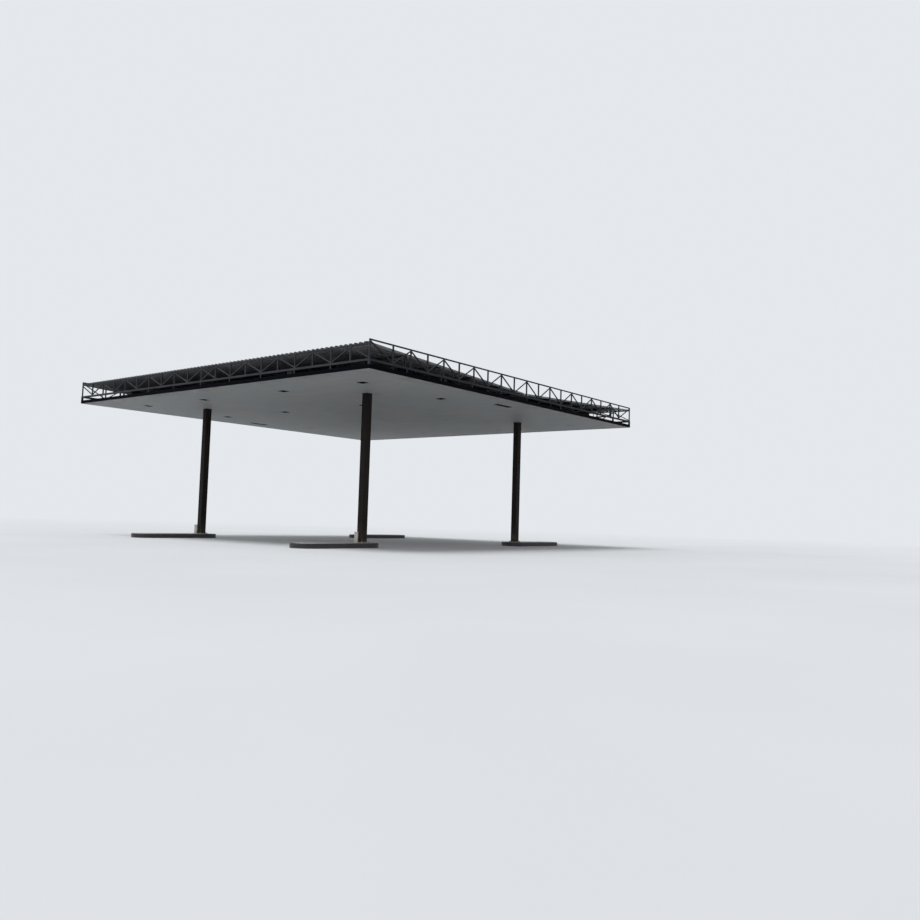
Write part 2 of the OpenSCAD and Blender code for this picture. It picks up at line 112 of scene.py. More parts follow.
# A closed profile of (a, b) pairs drawn out straight: the point (i, t) is (a_i, t, b_i)
def drawnShape(profile, length):
    a, b = np.array(profile).T
    count = len(a)
    points = np.stack([np.tile(a, 2), np.repeat([0.0, length], count), np.tile(b, 2)], -1)
    i = np.arange(count)
    j = (i + 1) % count
    return points, [np.stack([i, i + count, j + count, j], -1), np.stack([i, (i + count)[::-1]])]


# A block with a square plan round the Z axis, from one level to another
def squareBlock(width, low, high):
    half = width / 2
    points, faces = drawnShape([(-half, low), (half, low), (half, high), (-half, high)], width)
    return points - (0, half, 0), faces


# A line of (a, b) pairs made a closed profile by moving it out along its mitred normals (n + m) / (1 + n.m)
def thickened(line, thickness):
    line = np.array(line, float)
    along = np.diff(line, axis=0)
    normal = np.stack([-along[:, 1], along[:, 0]], -1) / np.linalg.norm(along, axis=1)[:, None]
    n, m = np.vstack([normal[:1], normal]), np.vstack([normal, normal[-1:]])
    mitre = (n + m) / (1 + (n * m).sum(1))[:, None]
    return np.vstack([line, (line + thickness * mitre)[::-1]])


def joinedShape(*shapes):
    starts = np.cumsum([0] + [len(points) for points, faces in shapes])
    return (np.concatenate([points for points, faces in shapes]),
            [block + start for start, (points, faces) in zip(starts, shapes) for block in faces])


# Copies of a shape, each turned by its 3 x 3 matrix and then moved to its place
def copiedShape(shape, places, turns=np.eye(3)):
    points, faces = shape
    places = np.asarray(places, float)
    moved = np.einsum("...ij,pj->...pi", turns, points) + places[:, None, :]
    starts = (len(points) * np.arange(len(places)))[:, None, None]
    return moved.reshape(-1, 3), [(block + starts).reshape(-1, block.shape[1]) for block in faces]


# Matrices that turn about the Z axis, one for each angle
def spins(angles):
    c, s, zero, one = np.cos(angles), np.sin(angles), np.zeros(len(angles)), np.ones(len(angles))
    return np.stack([c, -s, zero, s, c, zero, zero, zero, one], -1).reshape(-1, 3, 3)


def spin(angle):
    return spins(np.array([angle]))[0]


quarterTurns = [spin(quarter * np.pi / 2) for quarter in range(4)]
halfTurn = quarterTurns[2]


# Places at plus and minus each x and y
def mirroredPlaces(xs, ys, z=0.0):
    return np.array([(sx * x, sy * y, z) for sx in (-1, 1) for sy in (-1, 1) for x in xs for y in ys])


def makeObject(name, shape, material):
    points, faces = shape
    mesh = bpy.data.meshes.new(name)
    mesh.from_pydata(points.tolist(), [], [face for block in faces for face in block.tolist()])
    mesh.materials.append(material)
    made = bpy.data.objects.new(name, mesh)
    scene.collection.objects.link(made)
    return made


# Adds a shader node, with values or links for its inputs
def shade(tree, kind, inputs=None, **settings):
    made = tree.nodes.new("ShaderNode" + kind)
    for key, value in settings.items():
        setattr(made, key, value)
    for key, value in (inputs or {}).items():
        if isinstance(value, bpy.types.NodeSocket):
            tree.links.new(value, made.inputs[key])
        else:
            made.inputs[key].default_value = value
    return made


def calc(tree, operation, a, b=0.0, clamp=False):
    return shade(tree, "Math", {0: a, 1: b}, operation=operation, use_clamp=clamp).outputs[0]


def product(tree, first, *others):
    for other in others:
        first = calc(tree, "MULTIPLY", first, other)
    return first


# From the range low to high onto 0 to 1, or onto the two values given, and no further
def rescale(tree, value, low, high, toLow=0.0, toHigh=1.0, smooth=False):
    values = {"Value": value, "From Min": low, "From Max": high, "To Min": toLow, "To Max": toHigh}
    return shade(tree, "MapRange", values, interpolation_type="SMOOTHSTEP" if smooth else "LINEAR").outputs[0]


def rgba(colour):
    return (*colour, 1.0)


def blendColour(tree, factor, a, b, kind="MIX"):
    values = {0: factor, 6: rgba(a) if isinstance(a, tuple) else a, 7: rgba(b) if isinstance(b, tuple) else b}
    return shade(tree, "Mix", values, data_type="RGBA", blend_type=kind).outputs[2]


def toned(tree, colour, tone):
    grey = shade(tree, "CombineColor", {0: tone, 1: tone, 2: tone}).outputs[0]
    return blendColour(tree, 1.0, colour, grey, "MULTIPLY")


# Noise on Object coordinates, stretched by a scale for each axis
def grain(tree, place, scale, stretch=(1, 1, 1), detail=3.0, rough=0.5):
    if stretch != (1, 1, 1):
        place = shade(tree, "Mapping", {"Vector": place, "Scale": stretch}).outputs[0]
    values = {"Vector": place, "Scale": scale, "Detail": detail, "Roughness": rough}
    return shade(tree, "TexNoise", values).outputs[0]


# The same noise as a mask: what it has between low and high counts
def patchy(tree, place, scale, low, high, toLow=0.0, toHigh=1.0, **noise):
    return rescale(tree, grain(tree, place, scale, **noise), low, high, toLow, toHigh)


def axes(tree, vector):
    return shade(tree, "SeparateXYZ", {0: vector}).outputs


# The way that a face looks: its third part is 1 for up and -1 for down
def facing(tree):
    return axes(tree, shade(tree, "NewGeometry").outputs["Normal"])


# A fixed value between 0 and 1 for each set of whole numbers
def ownValue(tree, *numbers):
    key = shade(tree, "CombineXYZ", dict(enumerate(numbers))).outputs[0]
    return shade(tree, "TexWhiteNoise", {"Vector": key}, noise_dimensions="3D").outputs["Value"]


# How far a place is from the middle of its length, in lengths: |fract(along / length) - 0.5|
def beat(tree, along, length):
    share = calc(tree, "FRACT", calc(tree, "DIVIDE", along, length))
    return calc(tree, "ABSOLUTE", calc(tree, "SUBTRACT", share, 0.5))


# 1 for what the camera sees, also in a gloss or through a glass, and 0 for the light that falls on things
def seenRays(tree):
    ray = shade(tree, "LightPath").outputs
    camera, glossy, through = (ray[key] for key in ("Is Camera Ray", "Is Glossy Ray", "Is Transmission Ray"))
    return calc(tree, "MAXIMUM", calc(tree, "MAXIMUM", camera, glossy), through)


def startMaterial(name):
    material = bpy.data.materials.new(name)
    material.use_nodes = True
    tree = material.node_tree
    tree.nodes.clear()
    shader = shade(tree, "BsdfPrincipled")
    shade(tree, "OutputMaterial", {0: shader.outputs[0]})
    place = shade(tree, "TexCoord").outputs["Object"]
    return material, tree, shader, place


# Floor and light
studio = {"shown": (0.78, 0.81, 0.845), "sky": (1.0, 1.0, 1.0), "skyStrength": 0.60, "skyShare": (0.15, 1.5),
          "skyFrom": (-0.55, -0.8, 0.1), "sun": 1.8, "sunFrom": (-0.05, -0.42, 1.1), "sunAngle": 30.0,
          "radius": 600.0, "rings": 24, "spokes": 96, "widening": 2.5, "fade": (13.0, 90.0),
          "floor": (0.70, 0.72, 0.745), "darker": 0.955, "bounce": (0.29, 0.29, 0.29),
          "cloud": dict(scale=0.12, detail=4.0, low=0.35, high=0.65), "rough": 0.85, "shine": 0.2}


# The sky is lighter on the sun's side, and what the camera sees of it has the backdrop's colour
def setSky(s):
    world = bpy.data.worlds.new("studio")
    scene.world = world
    world.use_nodes = True
    tree = world.node_tree
    tree.nodes.clear()
    ahead = shade(tree, "TexCoord").outputs["Generated"]
    share = shade(tree, "VectorMath", {0: ahead, 1: s["skyFrom"]}, operation="DOT_PRODUCT").outputs["Value"]
    strength = rescale(tree, share, -1.0, 1.0, *(s["skyStrength"] * part for part in s["skyShare"]))
    lit = shade(tree, "Background", {0: rgba(s["sky"]), 1: strength}).outputs[0]
    shown = shade(tree, "Background", {0: rgba(s["shown"]), 1: 1.0}).outputs[0]
    mixed = shade(tree, "MixShader", {0: seenRays(tree), 1: lit, 2: shown}).outputs[0]
    shade(tree, "OutputWorld", {0: mixed})


def setSun(s):
    data = bpy.data.lights.new("softSun", "SUN")
    data.energy, data.angle = s["sun"], math.radians(s["sunAngle"])
    sun = bpy.data.objects.new("softSun", data)
    scene.collection.objects.link(sun)
    sun.rotation_mode = "QUATERNION"
    sun.rotation_quaternion = Vector(s["sunFrom"]).to_track_quat("Z", "Y")


# Pale floor with faint clouds; far from the object it takes the backdrop's colour
def floorPale(name, s):
    material, tree, shader, place = startMaterial(name)
    seen = seenRays(tree)
    darker = tuple(part * s["darker"] for part in s["floor"])
    tone = blendColour(tree, patchy(tree, place, **s["cloud"]), s["floor"], darker)
    tree.links.new(blendColour(tree, seen, s["bounce"], tone), shader.inputs["Base Color"])
    shader.inputs["Roughness"].default_value = s["rough"]
    shader.inputs["Specular IOR Level"].default_value = s["shine"]
    distance = shade(tree, "VectorMath", {0: place}, operation="LENGTH").outputs["Value"]
    far = rescale(tree, distance, *s["fade"], smooth=True)
    glow = shade(tree, "Emission", {0: rgba(s["shown"]), 1: 1.0}).outputs[0]
    mixed = shade(tree, "MixShader", {0: product(tree, far, seen), 1: shader.outputs[0], 2: glow}).outputs[0]
    output = next(made for made in tree.nodes if made.type == "OUTPUT_MATERIAL")
    tree.links.new(mixed, output.inputs[0])
    return material


# A disc with ever wider rings: point (i, j) is r_i (cos a_j, sin a_j, 0), r_i is radius (i / rings)^widening
def setFloor(s):
    rings, spokes = s["rings"], s["spokes"]
    radius = s["radius"] * (np.arange(1, rings + 1) / rings) ** s["widening"]
    angle = np.arange(spokes) * 2 * np.pi / spokes
    flat = np.stack([np.cos(angle), np.sin(angle), 0 * angle], -1)
    points = np.concatenate([[[0, 0, 0]], (radius[:, None, None] * flat).reshape(-1, 3)])
    makeObject("studioFloor", (points, discFaces(rings, spokes)), floorPale("floorPale", s))


setSky(studio)
setSun(studio)
setFloor(studio)
print("camera, floor and light set")


# Finishes
# Their settings hold colours, masks for patchy, ranges of two or four numbers for rescale, and bumps, coarse
# ones first. A bump is (height, strength, distance in metres), and its height is a noise or a socket
def dress(tree, shader, place, colour, rough, shine, bumps):
    tree.links.new(colour, shader.inputs["Base Color"])
    tree.links.new(rough, shader.inputs["Roughness"])
    shader.inputs["Specular IOR Level"].default_value = shine
    below = {}
    for height, strength, distance in bumps:
        if isinstance(height, dict):
            height = grain(tree, place, **height)
        values = {"Height": height, "Strength": strength, "Distance": distance, **below}
        below = {"Normal": shade(tree, "Bump", values).outputs[0]}
    tree.links.new(below["Normal"], shader.inputs["Normal"])


# What the three paints share
paintWear = {
    "fading": dict(scale=1.3, detail=5.0, low=0.36, high=0.66),
    "top": (0.3, 0.95), "settling": dict(scale=4.0, detail=6.0, rough=0.62, low=0.33, high=0.62),
    "side": (0.2, 0.6, 1.0, 0.0), "running": dict(scale=1.0, stretch=(16, 16, 0.9), low=0.56, high=0.72),
    "splashLevels": (0.2, 1.35, 1.0, 0.0), "splashPower": 2.2,
    "splashing": dict(scale=7.0, stretch=(1, 1, 0.55), detail=6.0, rough=0.65, low=0.28, high=0.62),
    "jointLine": (0.001, 0.0004), "jointSide": (0.7, 0.9), "jointShare": 0.7,
    "jointColour": (0.002, 0.002, 0.002), "dustRough": 0.3,
    "bumps": [(dict(scale=26.0, detail=2.0), 0.25, 0.0015), (dict(scale=420.0, detail=1.0), 0.35, 0.0004)]}
framePaint = {**paintWear, "colour": (0.043, 0.047, 0.056), "faded": (0.066, 0.070, 0.079),
              "dust": (0.20, 0.185, 0.16), "dustOnTop": 0.42, "runs": 0.16,
              "rough": (0.50, 0.68), "shine": 0.05}
columnPaint = {**paintWear, "colour": (0.0185, 0.0140, 0.0131), "faded": (0.030, 0.0232, 0.0220),
               "dust": (0.20, 0.18, 0.155), "dustOnTop": 0.5, "runs": 0.09, "splashes": 0.6,
               "rough": (0.46, 0.64), "shine": 0.08}
trimPaint = {**paintWear, "colour": (0.0020, 0.0022, 0.0044), "faded": (0.0038, 0.0040, 0.0070),
             "dust": (0.15, 0.14, 0.125), "dustOnTop": 0.3, "runs": 0.03, "joints": 4.0,
             "rough": (0.55, 0.72), "shine": 0.02}


# Satin paint: slow fading, dust where a face looks up and narrow runs down the sides; on columns splashes
# above the ground, and on the trim butt joints across the long sides, whichever way these run
def paintedSteel(name, s):
    material, tree, shader, place = startMaterial(name)
    across, beside, up = facing(tree)
    x, y, z = axes(tree, place)
    fading = patchy(tree, place, **s["fading"])
    top, side = rescale(tree, up, *s["top"]), rescale(tree, calc(tree, "ABSOLUTE", up), *s["side"])
    settled = product(tree, top, patchy(tree, place, **s["settling"]), s["dustOnTop"])
    dust = calc(tree, "MAXIMUM", settled, product(tree, patchy(tree, place, **s["running"]), side, s["runs"]))
    if "splashes" in s:
        low = calc(tree, "POWER", rescale(tree, z, *s["splashLevels"]), s["splashPower"])
        splash = product(tree, low, patchy(tree, place, **s["splashing"]), s["splashes"])
        dust = calc(tree, "MAXIMUM", dust, splash)
    colour = blendColour(tree, dust, blendColour(tree, fading, s["colour"], s["faded"]), s["dust"])
    if "joints" in s:
        lines = []
        for along, look in ((x, beside), (y, across)):
            line = rescale(tree, beat(tree, along, s["joints"]), *s["jointLine"])
            lines.append(product(tree, line, rescale(tree, calc(tree, "ABSOLUTE", look), *s["jointSide"])))
        joint = product(tree, calc(tree, "MAXIMUM", *lines), s["jointShare"])
        colour = blendColour(tree, joint, colour, s["jointColour"])
    rough = rescale(tree, fading, 0.0, 1.0, *s["rough"])
    rough = calc(tree, "ADD", rough, product(tree, dust, s["dustRough"]), clamp=True)
    dress(tree, shader, place, colour, rough, s["shine"], s["bumps"])
    return material


deckCoating = {
    "colour": (0.040, 0.043, 0.047), "sheet": 1.0, "tones": (0.82, 1.2), "turned": (-0.2, 0.2),
    # the underside's painted shade further in, its pale back coat at the edges, and the fade between them
    "paintedShadeInside": (0.27, 0.285, 0.315), "under": (0.56, 0.58, 0.62), "paintedShadeReach": (7.8, 9.9), "top": (0.1, 0.6),
    "dust": (0.23, 0.215, 0.19), "panLevels": (0.006, 0.045, 1.0, 0.25), "pans": 0.42, "films": 0.14,
    "streak": dict(scale=1.0, stretch=(11, 0.32, 1), detail=4.0, rough=0.6, low=0.38, high=0.68),
    "blot": dict(scale=0.55, detail=5.0, rough=0.6, low=0.35, high=0.65),
    "film": dict(scale=2.2, detail=6.0, rough=0.65, low=0.3, high=0.7),
    "stain": (0.020, 0.020, 0.020), "wet": (0.1, 1.6, 0.75, 0.0),
    "rough": (0.38, 0.62), "dustRough": 0.5, "shine": 0.12, "shines": (0.02, 0.3),
    "bumps": [(dict(scale=3.0, stretch=(1, 0.5, 1), detail=2.0), 0.2, 0.004),
              (dict(scale=300.0, detail=1.0), 0.3, 0.0004)]}


# Coated ribbed sheet: each sheet has its own tone, dust lies in the pans and runs with the fall, and the
# valley is stained. Below, the pale back coat shows along the roof's edges; further in it turns dark grey,
# which is painted shade in the roof void
def deckSheet(name, s):
    material, tree, shader, place = startMaterial(name)
    up = facing(tree)[2]
    x, y, z = axes(tree, place)
    away = calc(tree, "ABSOLUTE", y)
    number = calc(tree, "FLOOR", calc(tree, "DIVIDE", calc(tree, "ADD", x, plan["ribEdge"]), s["sheet"]))
    own = ownValue(tree, number, calc(tree, "SIGN", y))
    reach = calc(tree, "MAXIMUM", calc(tree, "ABSOLUTE", x), away)
    # painted shade: the underside darkens from the back coat at the roof's edges to dark grey further in
    below = blendColour(tree, rescale(tree, reach, *s["paintedShadeReach"], smooth=True), s["paintedShadeInside"], s["under"])
    colour = blendColour(tree, rescale(tree, up, *s["turned"]), below, s["colour"])
    colour = toned(tree, colour, rescale(tree, own, 0.0, 1.0, *s["tones"]))
    level = calc(tree, "ADD", product(tree, away, plan["fall"]), plan["deckAtValley"])
    pan, top = rescale(tree, calc(tree, "SUBTRACT", z, level), *s["panLevels"]), rescale(tree, up, *s["top"])
    streak, blot, film = (patchy(tree, place, **s[key]) for key in ("streak", "blot", "film"))
    streaks = product(tree, pan, streak, blot, top, s["pans"])
    dust = calc(tree, "MAXIMUM", streaks, product(tree, top, film, s["films"]))
    wet = product(tree, rescale(tree, away, *s["wet"], smooth=True), streak, top)
    colour = blendColour(tree, wet, blendColour(tree, dust, colour, s["dust"]), s["stain"])
    rough = rescale(tree, blot, 0.0, 1.0, *s["rough"])
    rough = calc(tree, "ADD", rough, product(tree, dust, s["dustRough"]), clamp=True)
    dress(tree, shader, place, colour, rough, s["shine"], s["bumps"])
    tree.links.new(rescale(tree, up, *s["turned"], *s["shines"]), shader.inputs["Specular IOR Level"])
    return material


soffitCoating = {
    "colour": (0.475, 0.515, 0.54), "warm": (0.505, 0.52, 0.525),
    "warmth": dict(scale=0.35, low=0.35, high=0.65),
    # plank runs from the middle outwards: start, end, number of planks
    "runs": [(0.0, 0.6, 1.5), (0.6, 2.8, 6), (2.8, 3.2, 1), (3.2, 5.25, 5), (5.25, 6.05, 2), (6.05, 7.6, 4),
             (7.6, 8.0, 1), (8.0, 9.99, 5)],
    "length": 5.0, "tones": (0.985, 1.015), "joint": (0.05, 0.05, 0.05), "gap": (0.002, 0.006, 1.0, 0.0),
    "jointShare": 0.5, "dirt": (0.12, 0.115, 0.105), "rim": (9.0, 9.99, 0.0, 0.5),
    "rimDirt": dict(scale=2.4, detail=5.0, rough=0.6, low=0.42, high=0.72),
    "cloud": dict(scale=0.9, stretch=(1, 1.6, 1), detail=6.0, rough=0.62, low=0.48, high=0.78, toHigh=0.10),
    # backs: a dark back coat, darkened further as painted shade in the roof void above the planks
    "back": (0.022, 0.022, 0.022), "backFaces": (0.3, 0.6),
    "edge": (0.016, 0.016, 0.017), "edgeFaces": (0.3, 0.6, 1.0, 0.0),
    "rough": dict(scale=1.7, detail=4.0, low=0.3, high=0.7, toLow=0.50, toHigh=0.66), "shine": 0.15,
    "bumps": [(dict(scale=1.0, stretch=(0.8, 2.4, 1), detail=2.0), 0.12, 0.02),
              (dict(scale=260.0, detail=1.0), 0.25, 0.0004)]}


# Matt coated planks along X: each length has its own slight tone, with butt joints between the lengths, dirt
# along the roof's edge and in slow clouds, and dark edges; the backs have a dark coat, made darker still as
# painted shade in the roof void
def soffitPlanks(name, s):
    material, tree, shader, place = startMaterial(name)
    up = facing(tree)[2]
    x, y = axes(tree, place)[:2]
    away, side = calc(tree, "ABSOLUTE", y), calc(tree, "SIGN", y)
    number = 0.5  # the first plank lies half on each side of the middle
    for start, end, count in s["runs"]:
        number = calc(tree, "ADD", number, rescale(tree, away, start, end, 0.0, count))
    plank = calc(tree, "FLOOR", number)
    shift = product(tree, ownValue(tree, plank, side), s["length"])
    along = calc(tree, "DIVIDE", calc(tree, "ADD", x, shift), s["length"])
    own = ownValue(tree, plank, side, calc(tree, "FLOOR", along))
    colour = blendColour(tree, patchy(tree, place, **s["warmth"]), s["colour"], s["warm"])
    colour = toned(tree, colour, rescale(tree, own, 0.0, 1.0, *s["tones"]))
    reach = calc(tree, "MAXIMUM", away, calc(tree, "ABSOLUTE", x))
    rim = product(tree, rescale(tree, reach, *s["rim"], smooth=True), patchy(tree, place, **s["rimDirt"]))
    dirt = calc(tree, "MAXIMUM", rim, patchy(tree, place, **s["cloud"]))
    colour = blendColour(tree, dirt, colour, s["dirt"])
    gap = rescale(tree, product(tree, calc(tree, "FRACT", along), s["length"]), *s["gap"])
    colour = blendColour(tree, product(tree, gap, s["jointShare"]), colour, s["joint"])
    # faces that look up take the dark back colour, partly painted shade in the roof void
    colour = blendColour(tree, rescale(tree, up, *s["backFaces"]), colour, s["back"])
    colour = blendColour(tree, rescale(tree, calc(tree, "ABSOLUTE", up), *s["edgeFaces"]), colour, s["edge"])
    dress(tree, shader, place, colour, patchy(tree, place, **s["rough"]), s["shine"], s["bumps"])
    return material


zincCoating = {"light": (0.60, 0.62, 0.64), "dark": (0.36, 0.38, 0.40), "bloomed": (0.62, 0.62, 0.60),
               "bloom": dict(scale=5.0, detail=6.0, rough=0.6, low=0.45, high=0.7, toHigh=0.7), "cell": 55.0,
               "metallic": 0.85, "rough": (0.0, 1.7, 0.34, 0.62), "shine": 0.5, "crystalBump": (0.15, 0.0006)}


# Hot-dip zinc: crystals of differing brightness, with dull white bloom in patches
def zincCoated(name, s):
    material, tree, shader, place = startMaterial(name)
    cells = shade(tree, "TexVoronoi", {"Vector": place, "Scale": s["cell"]}).outputs["Color"]
    crystal = shade(tree, "SeparateColor", {0: cells}).outputs[0]
    bloom = patchy(tree, place, **s["bloom"])
    colour = blendColour(tree, bloom, blendColour(tree, crystal, s["dark"], s["light"]), s["bloomed"])
    rough = rescale(tree, calc(tree, "ADD", crystal, bloom), *s["rough"])
    shader.inputs["Metallic"].default_value = s["metallic"]
    dress(tree, shader, place, colour, rough, s["shine"], [(crystal, *s["crystalBump"])])
    return material


kerbPaint = {
    "colour": (0.018, 0.0185, 0.021), "lighter": 1.6, "slow": dict(scale=1.6, low=0.3, high=0.7),
    "worn": (0.30, 0.29, 0.27), "chips": dict(scale=11.0, detail=7.0, rough=0.68), "rim": (0.158, 0.19),
    "rimChips": (0.50, 0.66, 0.0, 0.8), "deepChips": (0.66, 0.72, 0.0, 0.8),
    "scuffed": (0.012, 0.012, 0.012), "scuffs": 0.6, "slowScuffs": (0.2, 0.8),
    "scuff": dict(scale=1.0, stretch=(1.2, 1.2, 42), detail=4.0, low=0.52, high=0.7),
    "dust": (0.30, 0.28, 0.25), "top": (0.5, 0.95, 0.0, 0.42), "foot": (0.0, 0.05, 0.4, 0.0),
    "topDust": dict(scale=3.0, detail=5.0, low=0.25, high=0.6), "footDust": (0.35, 0.65),
    "joints": 1.05, "jointLine": (0.4955, 0.498), "jointShare": 0.85, "jointColour": (0.015, 0.015, 0.015),
    "rough": (0.0, 1.0, 0.48, 0.85), "shine": 0.5, "wornDepth": -0.4, "wearBump": (0.5, 0.003),
    "bumps": [(dict(scale=60.0, detail=4.0), 0.4, 0.002)]}


# Dark painted kerb: rubbed and chipped through to pale stone along the top, with level scuffs of tyres on the
# sides, and dust on the top and along the ground
def kerbStone(name, s):
    material, tree, shader, place = startMaterial(name)
    up = facing(tree)[2]
    y, z = axes(tree, place)[1:]
    chips, slow = grain(tree, place, **s["chips"]), patchy(tree, place, **s["slow"])
    rubbed = product(tree, rescale(tree, z, *s["rim"]), rescale(tree, chips, *s["rimChips"]))
    wear = calc(tree, "MAXIMUM", rubbed, rescale(tree, chips, *s["deepChips"]))
    scuff = product(tree, patchy(tree, place, **s["scuff"]), rescale(tree, slow, *s["slowScuffs"]))
    scuff = product(tree, scuff, s["scuffs"])
    colour = blendColour(tree, slow, s["colour"], tuple(part * s["lighter"] for part in s["colour"]))
    colour = blendColour(tree, wear, blendColour(tree, scuff, colour, s["scuffed"]), s["worn"])
    top = product(tree, rescale(tree, up, *s["top"]), patchy(tree, place, **s["topDust"]))
    foot = product(tree, rescale(tree, z, *s["foot"]), rescale(tree, chips, *s["footDust"]))
    colour = blendColour(tree, calc(tree, "MAXIMUM", top, foot), colour, s["dust"])
    joint = rescale(tree, beat(tree, y, s["joints"]), *s["jointLine"])
    colour = blendColour(tree, product(tree, joint, s["jointShare"]), colour, s["jointColour"])
    rough = rescale(tree, calc(tree, "ADD", wear, top), *s["rough"])
    height = calc(tree, "SUBTRACT", product(tree, wear, s["wornDepth"]), joint)
    dress(tree, shader, place, colour, rough, s["shine"], [(height, *s["wearBump"]), *s["bumps"]])
    return material


concreteFill = {
    "colour": (0.36, 0.35, 0.33), "light": (0.47, 0.46, 0.435), "dark": (0.20, 0.19, 0.175),
    "broad": dict(scale=1.4, detail=6.0, rough=0.6, low=0.32, high=0.68),
    "sand": dict(scale=170.0, detail=2.0, rough=0.7), "darkSand": (0.56, 0.75, 0.0, 0.5),
    "cracked": (0.09, 0.085, 0.08), "bend": 2.2, "slab": 0.7, "crackEdge": (0.0015, 0.005, 1.0, 0.0),
    "crackPlaces": dict(scale=0.8, low=0.45, high=0.6), "crackShare": 0.8,
    "oil": (0.07, 0.065, 0.06), "drips": dict(scale=3.2, detail=2.0, low=0.64, high=0.72, toHigh=0.55),
    "float": {"Scale": 3.5, "Distortion": 9.0, "Detail": 3.0}, "rough": (0.0, 1.0, 0.72, 0.9), "shine": 0.5,
    "crackBump": (0.6, 0.003), "floatBump": (0.12, 0.003), "sandBump": (0.35, 0.0012)}


# Trowelled concrete: broad tones, sand, arcs of the float, hairline cracks and drips
def trowelled(name, s):
    material, tree, shader, place = startMaterial(name)
    broad, sand = patchy(tree, place, **s["broad"]), grain(tree, place, **s["sand"])
    colour = blendColour(tree, broad, s["colour"], s["light"])
    colour = blendColour(tree, rescale(tree, sand, *s["darkSand"]), colour, s["dark"])
    bend = shade(tree, "TexNoise", {"Vector": place, "Scale": s["bend"]}).outputs["Color"]
    bent = shade(tree, "VectorMath", {0: place, 1: bend}, operation="ADD").outputs[0]
    slabs = {"Vector": bent, "Scale": s["slab"]}
    edge = shade(tree, "TexVoronoi", slabs, feature="DISTANCE_TO_EDGE").outputs["Distance"]
    crack = product(tree, rescale(tree, edge, *s["crackEdge"]), patchy(tree, place, **s["crackPlaces"]))
    colour = blendColour(tree, product(tree, crack, s["crackShare"]), colour, s["cracked"])
    colour = blendColour(tree, patchy(tree, place, **s["drips"]), colour, s["oil"])
    arcs = shade(tree, "TexWave", {"Vector": place, **s["float"]}, wave_type="RINGS").outputs["Fac"]
    bumps = [(product(tree, crack, -1.0), *s["crackBump"]), (arcs, *s["floatBump"]), (sand, *s["sandBump"])]
    dress(tree, shader, place, colour, rescale(tree, broad, *s["rough"]), s["shine"], bumps)
    return material


pipeWear = {"ageing": dict(scale=6.0, low=0.4, high=0.7, toHigh=0.7), "dirt": (0.26, 0.24, 0.20),
            "mostDirt": 0.8, "footLevels": (0.2, 0.42, 0.7, 0.02),
            "soiling": dict(scale=18.0, detail=6.0, rough=0.65, low=0.3, high=0.62),
            "bumps": [(dict(scale=90.0, detail=2.0), 0.1, 0.001)]}
stubPlastic = {**pipeWear, "colour": (0.80, 0.80, 0.78), "aged": (0.70, 0.69, 0.65), "rough": (0.36, 0.8),
               "shine": 0.5}
lampOpal = {**pipeWear, "colour": (0.47, 0.505, 0.53), "aged": (0.43, 0.455, 0.465), "rough": (0.62, 0.85),
            "shine": 0.12}


# White plastic, aged in patches and soiled near the ground
def whitePlastic(name, s):
    material, tree, shader, place = startMaterial(name)
    z = axes(tree, place)[2]
    colour = blendColour(tree, patchy(tree, place, **s["ageing"]), s["colour"], s["aged"])
    low = product(tree, rescale(tree, z, *s["footLevels"]), patchy(tree, place, **s["soiling"]))
    colour = blendColour(tree, low, colour, s["dirt"])
    rough = rescale(tree, low, 0.0, s["mostDirt"], *s["rough"])
    dress(tree, shader, place, colour, rough, s["shine"], s["bumps"])
    return material


sealMastic = {"colour": (0.010, 0.010, 0.011), "dusty": (0.045, 0.043, 0.040), "rough": (0.0, 1.0, 0.55, 0.8),
              "dust": dict(scale=14.0, detail=5.0, rough=0.6, low=0.4, high=0.7), "shine": 0.2,
              "bumps": [(dict(scale=45.0), 0.4, 0.002)]}


# Black mastic, smoothed by hand and a little dusty
def mastic(name, s):
    material, tree, shader, place = startMaterial(name)
    dust = patchy(tree, place, **s["dust"])
    colour = blendColour(tree, dust, s["colour"], s["dusty"])
    dress(tree, shader, place, colour, rescale(tree, dust, *s["rough"]), s["shine"], s["bumps"])
    return material


finish = {
    "frame": paintedSteel("frameAnthracite", framePaint),
    "column": paintedSteel("columnBlack", columnPaint),
    "trim": paintedSteel("trimBlack", trimPaint),
    "deck": deckSheet("deckCoating", deckCoating),
    "soffit": soffitPlanks("soffitPlanks", soffitCoating),
    "zinc": zincCoated("zincCoating", zincCoating),
    "kerb": kerbStone("kerbPaint", kerbPaint),
    "concrete": trowelled("islandConcrete", concreteFill),
    "pipe": whitePlastic("stubPlastic", stubPlastic),
    "opal": whitePlastic("lampOpal", lampOpal),
    "seal": mastic("sealMastic", sealMastic),
}
# The finish of a node, by the first of these that its name starts with; all others are frame
wears = {"island_kerb": "kerb", "island_fill": "concrete", "column_collars": "soffit", "column": "column",
         "conduit": "pipe", "roof_deck": "deck", "valley": "zinc", "gutter": "zinc",
         "soffit_panels": "soffit", "soffit_rails": "zinc", "soffit_hangers": "zinc", "soffit_edge": "trim",
         "soffit_trimmers": "trim"}
for name, piece in nodes.items():
    kind = next((value for start, value in wears.items() if name.startswith(start)), "frame")
    piece.data.materials.clear()
    piece.data.materials.append(finish[kind])
print("finishes on", len(nodes), "nodes")


def makePiece(name, shape, kind):
    points, faces = shape
    piece = makeObject(name, shape, finish[kind])
    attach(piece, "root")
    print(name, "made:", len(points), "points,", sum(len(block) for block in faces), "faces")
    return piece


# Columns and their feet
foldedCorner = {"radius": 0.009, "segments": 3, "weld": 0.0001}


